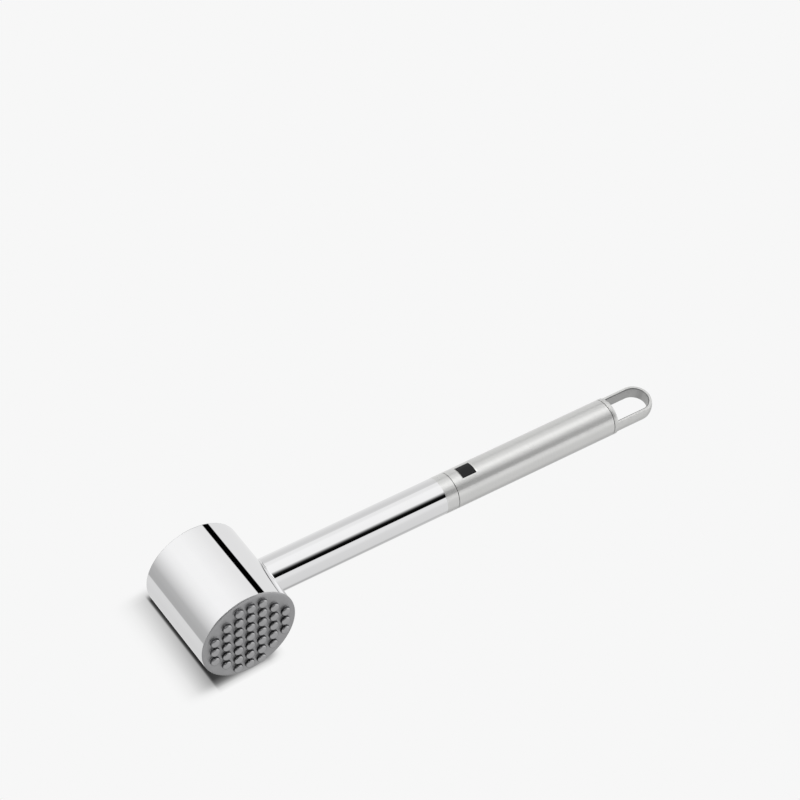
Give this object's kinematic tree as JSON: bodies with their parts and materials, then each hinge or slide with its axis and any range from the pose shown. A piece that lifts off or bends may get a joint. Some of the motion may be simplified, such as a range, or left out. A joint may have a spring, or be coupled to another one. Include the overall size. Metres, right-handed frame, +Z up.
{
  "type": "meat mallet",
  "caption": "Steel meat mallet: round weighted head with a knobbed and a smooth striking face, and a tubular handle with a flat hanging loop.",
  "frame": {"origin": "on the table, under the middle of the outline of the mallet as it lies with its head on its side", "axes": "+X from the head towards the hanging loop, +Y from the knobbed face towards the smooth face, +Z up from the table"},
  "size_m": [0.278, 0.0544, 0.0507],
  "materials": {
    "polished_steel": "mirror-polished stainless steel",
    "brushed_steel": "satin stainless steel, fine brushing around the handle",
    "blasted_steel": "bead-blasted cast stainless steel, matte grey",
    "matte_steel": "fine-blasted cast stainless steel, matte light grey",
    "plain_steel": "plain turned steel, not visible",
    "dark_enamel": "blank near-black enamelled inlay"
  },
  "bodies": {
    "root": {"head_sleeve": "polished_steel", "core_weight": "plain_steel", "knobbed_face": "blasted_steel", "smooth_face": "polished_steel", "head_stud": "plain_steel", "neck_plug": "plain_steel", "neck_weld": "polished_steel", "neck_tube": "polished_steel", "joint_spigot": "plain_steel", "grip_tube": "brushed_steel", "badge_inlay": "dark_enamel", "end_cap": "matte_steel"}
  },
  "joints": []
}
